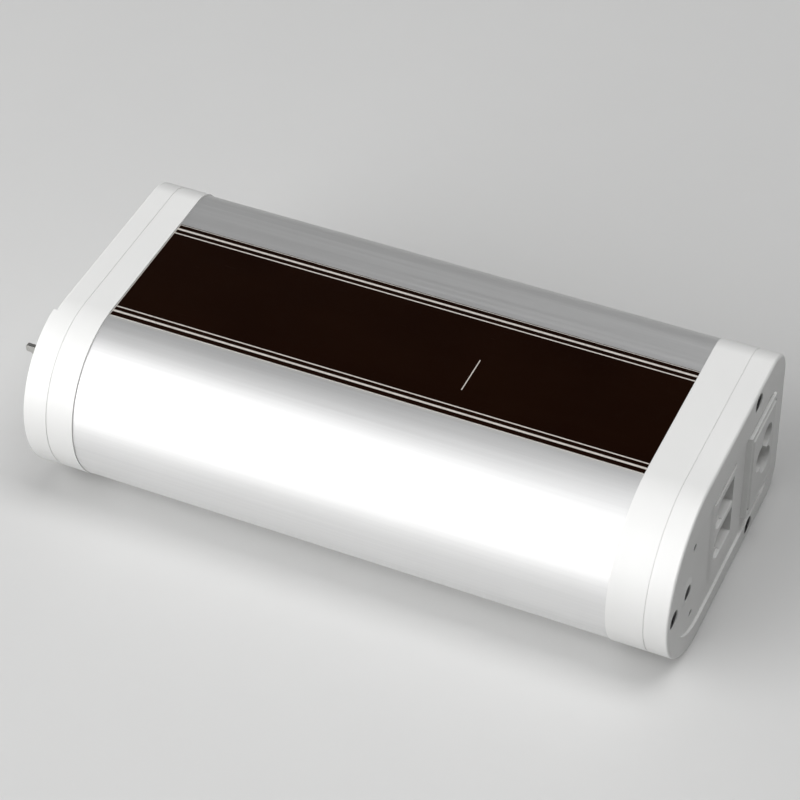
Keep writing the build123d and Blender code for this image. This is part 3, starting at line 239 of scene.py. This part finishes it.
def moulded_plastic(name, colour, roughness, specular=0.5, dust=0.10):
    """Injection-moulded plastic with a fine grain, dust in its corners and painted shade far inside its
    mouths.
    """
    dust_tone = (0.42, 0.39, 0.35)
    corner_reach = 1.6 * mm
    painted_shade_reach = 7.0 * mm
    painted_mouth_shade = shade(colour, 0.12)
    darker = shade(colour, 0.975)
    lighter = shade(colour, 1.01)
    smoother = roughness - 0.05
    rougher = roughness + 0.06
    finish = Finish(name, colour, roughness)
    grains = finish.noise(even(2600))
    flow = finish.noise(even(30), detail=3.0)
    handling = finish.noise(even(95), detail=4.0, roughness=0.6)
    clean = finish.blend(finish.span(flow), darker, lighter)
    dusty = finish.span(finish.openness(corner_reach), source=(0.25, 0.9), target=(dust, 0.0))
    aged = finish.blend(dusty, clean, dust_tone)
    # Painted shade: the colour turns dark far inside mouths and hollows, standing in for the shade that
    # falls there.
    painted_deep_shade = finish.span(finish.openness(painted_shade_reach), source=(0.12, 0.42), target=(0.7, 0.0))
    finish.set("Base Color", finish.blend(painted_deep_shade, aged, painted_mouth_shade))
    finish.set("Roughness", finish.span(handling, target=(smoother, rougher)))
    finish.set("Specular IOR Level", specular)
    finish.bump(grains, distance=0.010 * mm, strength=0.5)
    return finish.material


def label_print(finish):
    """1 on the label's printed lines, else 0."""
    along = finish.axis("X")
    across = finish.axis("Y")
    marks = [finish.band(across, middle * mm, half_width * mm) for middle, half_width in print_lines]
    for x, half_width, middle, half_length in cross_lines:
        marks.append(finish.maths("MULTIPLY", finish.band(along, x * mm, half_width * mm),
                                  finish.band(across, middle * mm, half_length * mm)))
    ink = marks[0]
    for mark in marks[1:]:
        ink = finish.maths("MAXIMUM", ink, mark)
    return ink


def printed_label():
    """Glossy near-black film with two pairs of pale lines, a short divider and two hair lines."""
    dark_film = (0.0075, 0.0021, 0.0007)
    light_film = (0.0100, 0.0032, 0.0012)
    fresh_ink = (0.66, 0.62, 0.58)
    worn_ink = (0.54, 0.50, 0.46)
    cut_edge = (0.55, 0.52, 0.48)
    ink_roughness = 0.12
    finish = Finish("printed_label", colour=(0.0090, 0.0027, 0.0010), roughness=0.2)
    ink = label_print(finish)
    wear = finish.span(finish.noise(even(900), detail=3.0), source=(0.35, 0.7))
    haze = finish.noise(lengthwise(along=25, across=40), detail=3.0)
    film = finish.blend(finish.span(haze), dark_film, light_film)
    face = finish.blend(ink, film, finish.blend(wear, fresh_ink, worn_ink))
    normal = finish.node("ShaderNodeNewGeometry").outputs["Normal"]
    upward = finish.node("ShaderNodeSeparateXYZ", {"Vector": normal}).outputs["Z"]
    side = finish.span(upward, source=(0.2, 0.5), target=(1.0, 0.0))
    finish.set("Base Color", finish.blend(side, face, cut_edge))
    scuffs = finish.noise(lengthwise(along=60, across=700), detail=5.0, roughness=0.7)
    gloss = finish.span(scuffs, source=(0.45, 0.75), target=(0.17, 0.30))
    finish.set("Roughness", finish.maths("ADD", gloss, finish.maths("MULTIPLY", ink, ink_roughness)))
    finish.set("Specular IOR Level", 0.05)
    ripple = finish.noise(even(220), detail=1.0)
    under = finish.bump(ripple, distance=0.012 * mm, strength=0.25)
    finish.bump(ink, distance=0.01 * mm, strength=0.4, under=under)
    return finish.material


def metal(name, colour, roughness, grain=even(900), depth=0.006 * mm, spread=0.08):
    """Bare or plated metal with a fine grain."""
    dulled = shade(colour, 0.86)
    rubbed = shade(colour, 1.06)
    finish = Finish(name, colour, roughness, metallic=1.0)
    marks = finish.noise(grain, detail=4.0, roughness=0.6)
    finish.set("Base Color", finish.blend(finish.span(marks), dulled, rubbed))
    finish.set("Roughness", finish.span(marks, target=(roughness - spread / 2, roughness + spread / 2)))
    finish.bump(marks, depth, strength=0.4)
    return finish.material


def blackened_steel():
    """Black oxide screws, rubbed a little brighter on their rims."""
    oxide = (0.012, 0.012, 0.014)
    rubbed = (0.20, 0.19, 0.18)
    rim_reach = 0.5 * mm
    finish = Finish("blackened_steel", oxide, roughness=0.5)
    finish.set("Specular IOR Level", 0.2)
    marks = finish.noise(even(1400), detail=4.0)
    rims = finish.span(finish.openness(rim_reach), source=(0.8, 1.0), target=(0.0, 0.10))
    patches = finish.span(marks, source=(0.45, 0.6))
    finish.set("Base Color", finish.blend(finish.maths("MULTIPLY", rims, patches), oxide, rubbed))
    finish.set("Roughness", finish.span(marks, target=(0.42, 0.56)))
    finish.bump(marks, distance=0.008 * mm, strength=0.4)
    return finish.material


def circuit_board():
    """Green solder mask with copper tracks showing under it."""
    bare_mask = (0.018, 0.13, 0.05)
    mask_on_track = (0.05, 0.24, 0.10)
    finish = Finish("circuit_board", colour=(0.02, 0.16, 0.06), roughness=0.32)
    on_track = finish.span(finish.cell_edges((180, 260, 180)), source=(0.08, 0.10), target=(1.0, 0.0))
    finish.set("Base Color", finish.blend(on_track, bare_mask, mask_on_track))
    finish.set("Roughness", finish.span(finish.noise(even(300)), target=(0.26, 0.38)))
    finish.bump(on_track, distance=0.03 * mm, strength=0.5)
    return finish.material


def wound_copper(name, turns_per_metre):
    """Enamelled wire laid side by side, with painted shade between the turns and a painted highlight along
    each turn's top.
    """
    painted_shade_between_turns = (0.30, 0.10, 0.04)
    painted_highlight_on_top = (0.72, 0.30, 0.12)
    finish = Finish(name, colour=(0.62, 0.24, 0.09), roughness=0.28, metallic=0.9)
    turns = finish.waves(turns_per_metre, distortion=0.6, detail=1.0)
    # Painted shade between the turns and painted highlight along their tops, drawn by the wave bands.
    finish.set("Base Color", finish.blend(turns, painted_shade_between_turns, painted_highlight_on_top))
    finish.bump(turns, distance=0.08 * mm, strength=0.7)
    return finish.material


def dark_sleeve():
    """Dark plastic sleeve of a capacitor or a lead."""
    darker = (0.024, 0.026, 0.04)
    lighter = (0.045, 0.048, 0.06)
    finish = Finish("dark_sleeve", colour=(0.03, 0.032, 0.045), roughness=0.3)
    marks = finish.noise(even(400), detail=3.0)
    finish.set("Base Color", finish.blend(marks, darker, lighter))
    finish.set("Roughness", finish.span(marks, target=(0.24, 0.38)))
    finish.bump(marks, distance=0.01 * mm, strength=0.4)
    return finish.material


def soft_rubber():
    """Matt black rubber with a pale bloom."""
    clean = (0.022, 0.022, 0.023)
    bloomed = (0.05, 0.05, 0.05)
    finish = Finish("soft_rubber", colour=(0.025, 0.025, 0.026), roughness=0.75)
    bloom = finish.noise(even(120), detail=5.0, roughness=0.6)
    grains = finish.noise(even(1800))
    finish.set("Base Color", finish.blend(finish.span(bloom, source=(0.4, 0.7)), clean, bloomed))
    finish.bump(grains, distance=0.02 * mm, strength=0.5)
    return finish.material


def light_guide():
    """Smoky plastic that carries the indicator light, darkened to near black as painted shade of the holes
    it sits in.
    """
    darker = (0.008, 0.008, 0.010)
    lighter = (0.020, 0.020, 0.023)
    # Painted shade: the near-black colour stands in for the shade inside the indicator holes.
    finish = Finish("light_guide", colour=(0.03, 0.03, 0.034), roughness=0.3)
    clouds = finish.noise(even(600))
    finish.set("Base Color", finish.blend(clouds, darker, lighter))
    finish.set("Transmission Weight", 0.1)
    finish.set("Specular IOR Level", 0.15)
    finish.bump(clouds, distance=0.004 * mm, strength=0.3)
    return finish.material


def pale_paper():
    """Matt paper of the floor, in one tone for the camera and a darker one for the light it throws back."""
    finish = Finish("pale_paper", floor_tone, roughness=0.8)
    fibres = finish.noise(even(40), detail=6.0, roughness=0.6)
    paper = finish.blend(finish.span(fibres), shade(floor_tone, 0.99), floor_tone)
    ray = finish.node("ShaderNodeLightPath").outputs
    seen = finish.maths("MAXIMUM", ray["Is Camera Ray"], ray["Is Glossy Ray"])
    seen = finish.maths("MAXIMUM", seen, ray["Is Transmission Ray"])
    finish.set("Base Color", finish.blend(seen, bounce_tone, paper))
    return finish.material


steel = metal("turned_steel", colour=(0.56, 0.55, 0.53), roughness=0.26, grain=(2400, 500, 500))
sprung_steel = metal("pressed_steel", colour=(0.60, 0.59, 0.57), roughness=0.24, grain=even(260))
ferrite = metal("sintered_ferrite", colour=(0.10, 0.10, 0.105), roughness=0.55, grain=even(1500),
                depth=0.02 * mm)
gold_plate = metal("gold_plate", colour=(0.83, 0.62, 0.26), roughness=0.22)
nickel_plate = metal("nickel_plate", colour=(0.62, 0.60, 0.55), roughness=0.2)
cast_alloy = metal("cast_alloy", colour=(0.50, 0.50, 0.51), roughness=0.42, grain=even(700),
                   depth=0.02 * mm)
copper = metal("commutator_copper", colour=(0.72, 0.38, 0.22), roughness=0.3)
coupling_steel = metal("coupling_steel", colour=(0.44, 0.44, 0.45), roughness=0.3, grain=(400, 900, 900))
black_screw = blackened_steel()
white_cap = moulded_plastic("white_cap_plastic", colour=(0.86, 0.86, 0.85), roughness=0.38, dust=0.03)
white_socket = moulded_plastic("white_socket_plastic", colour=(0.80, 0.80, 0.79), roughness=0.42, dust=0.05)
grey_jack = moulded_plastic("grey_jack_plastic", colour=(0.42, 0.42, 0.41), roughness=0.45, specular=0.3)
black_plastic = moulded_plastic("black_plastic", colour=(0.012, 0.012, 0.013), roughness=0.5, specular=0.15,
                                dust=0.02)
gear_plastic = moulded_plastic("gear_plastic", colour=(0.80, 0.78, 0.68), roughness=0.4)
green_plastic = moulded_plastic("green_plastic", colour=(0.05, 0.32, 0.12), roughness=0.4)

planets = [f"{stage}_planet_{number}" for stage in ("first", "second") for number in (1, 2, 3)]
pieces_by_finish = {
    brushed_aluminium(): ["body_extrusion"],
    printed_label(): ["rating_label"],
    light_guide(): ["indicator_light_pipes"],
    soft_rubber(): ["motor_dampers"],
    wound_copper("armature_copper", turns_per_metre=(0, 900, 900)): ["armature_winding"],
    wound_copper("transformer_copper", turns_per_metre=(1300, 0, 700)): ["transformer_winding"],
    wound_copper("choke_copper", turns_per_metre=(900, 0, 900)): ["line_filter_choke"],
    circuit_board(): ["control_board", "power_board", "encoder_board"],
    dark_sleeve(): ["bulk_capacitor", "output_capacitors", "internal_leads"],
    gold_plate: ["jack_contacts"],
    nickel_plate: ["inlet_pins"],
    copper: ["commutator"],
    coupling_steel: ["drive_coupling"],
    black_screw: ["output_cover_screws", "socket_cover_screws", "gearbox_screws", "control_board_screws"],
    white_cap: ["output_collar", "output_cover", "socket_collar", "socket_cover"],
    white_socket: ["power_inlet"],
    grey_jack: ["jack_upper", "jack_lower"],
    black_plastic: ["setting_button", "lock_latch", "button_switch", "radio_module", "motor_end_bell"],
    steel: ["rotor_shaft", "motor_bearings", "output_bearings", "sun_gear", "first_carrier",
            "output_carrier"],
    sprung_steel: ["motor_can", "lock_claw", "latch_spring"],
    ferrite: ["motor_magnets", "armature_core", "encoder_magnet", "transformer_core", "motor_brushes"],
    gear_plastic: ["ring_gear", *planets],
    cast_alloy: ["gearbox_adapter", "gearbox_cover", "rectifier_heatsink"],
    green_plastic: ["board_terminals", "line_fuse"],
}
for material, names in pieces_by_finish.items():
    for name in names:
        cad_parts[name].data.materials.clear()
        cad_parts[name].data.materials.append(material)


# Moving pieces

def shortening_spring():
    """Copy of the latch's spring, attached to the case, with the original hidden."""
    coil = add_object("latch_spring_coil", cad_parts["latch_spring"].data.copy())
    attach(coil, "case")
    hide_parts("latch_spring")
    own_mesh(coil)


shortening_spring()


# Edges

def soften(name, width):
    """Small bevel along a node's sharp edges, so that they catch the light."""
    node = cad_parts[name]
    weld = node.modifiers.new("weld", "WELD")
    weld.merge_threshold = weld_distance
    bevel = node.modifiers.new("soft edges", "BEVEL")
    bevel.width = width
    bevel.segments = bevel_segments
    bevel.limit_method = "ANGLE"
    bevel.angle_limit = bevel_angle
    bevel.use_clamp_overlap = True
    normals = node.modifiers.new("even shading", "WEIGHTED_NORMAL")
    normals.mode = "FACE_AREA_WITH_ANGLE"


pieces_by_bevel = {
    moulded_bevel: ["output_cover", "output_collar", "socket_cover", "socket_collar", "power_inlet"],
    metal_bevel: ["lock_claw", "drive_coupling", "gearbox_cover", "output_cover_screws",
                  "socket_cover_screws"],
    thin_bevel: ["setting_button", "lock_latch", "jack_upper", "jack_lower", "rating_label"],
}
for width, names in pieces_by_bevel.items():
    for name in names:
        soften(name, width)


# Studio

def area_light(name, place, size, watts):
    """Rectangular lamp that looks at the motor."""
    data = bpy.data.lights.new(name, "AREA")
    data.shape = "RECTANGLE"
    data.size, data.size_y = size
    data.energy = watts
    lamp = add_object(name, data)
    lamp.location = place
    lamp.rotation_euler = (Vector(lamp_target) - Vector(place)).to_track_quat("-Z", "Y").to_euler()


def cove_profile():
    """Radius and height of the floor's middle and edge, of the curve's steps and of the wall's top."""
    profile = [(0.0, 0.0), (floor_radius, 0.0)]
    for step in range(1, cove_steps + 1):
        angle = math.pi / 2 * step / cove_steps
        profile.append((floor_radius + cove_radius * math.sin(angle), cove_radius * (1 - math.cos(angle))))
    profile.append((floor_radius + cove_radius, wall_height))
    return profile


def cove():
    """Round pale floor that curves up into a wall."""
    profile = cove_profile()
    verts = [(0.0, 0.0, 0.0)]
    for radius, height in profile[1:]:
        for i in range(cove_sides):
            angle = 2 * math.pi * i / cove_sides
            verts.append((radius * math.cos(angle), radius * math.sin(angle), height))
    faces = [(0, 1 + i, 1 + (i + 1) % cove_sides) for i in range(cove_sides)]
    for ring in range(len(profile) - 2):
        inner = 1 + ring * cove_sides
        outer = inner + cove_sides
        for i in range(cove_sides):
            j = (i + 1) % cove_sides
            faces.append((inner + i, outer + i, outer + j, inner + j))
    mesh = bpy.data.meshes.new("cove")
    mesh.from_pydata(verts, [], faces)
    mesh.shade_smooth()
    mesh.materials.append(pale_paper())
    floor = add_object("cove", mesh)


def surrounding_light():
    """Faint cool light from all sides."""
    world = bpy.data.worlds.new("studio")
    world.use_nodes = True
    background = world.node_tree.nodes["Background"]
    background.inputs["Color"].default_value = (*world_tone, 1.0)
    background.inputs["Strength"].default_value = world_strength
    bpy.context.scene.world = world


def fitted_camera():
    """Camera at the photograph's viewpoint."""
    camera = add_object("camera", bpy.data.cameras.new("camera"))
    camera.data.lens = camera_lens
    camera.data.clip_start = camera_clip_start
    camera.location = camera_place
    aim = (camera_target - camera_place).to_track_quat("-Z", "Y")
    camera.rotation_euler = (aim @ Quaternion((0, 0, 1), camera_roll)).to_euler()
    bpy.context.scene.camera = camera


cove()
surrounding_light()
area_light("front_box", place=(-1.00, -1.30, 1.01), size=(2.2, 2.2), watts=41.0)
area_light("low_box", place=(-1.15, -1.75, 0.30), size=(2.6, 0.5), watts=22.0)
area_light("top_box", place=(0.50, 0.05, 1.86), size=(0.8, 1.2), watts=15.5)
fitted_camera()
bpy.context.scene.view_settings.view_transform = "Standard"
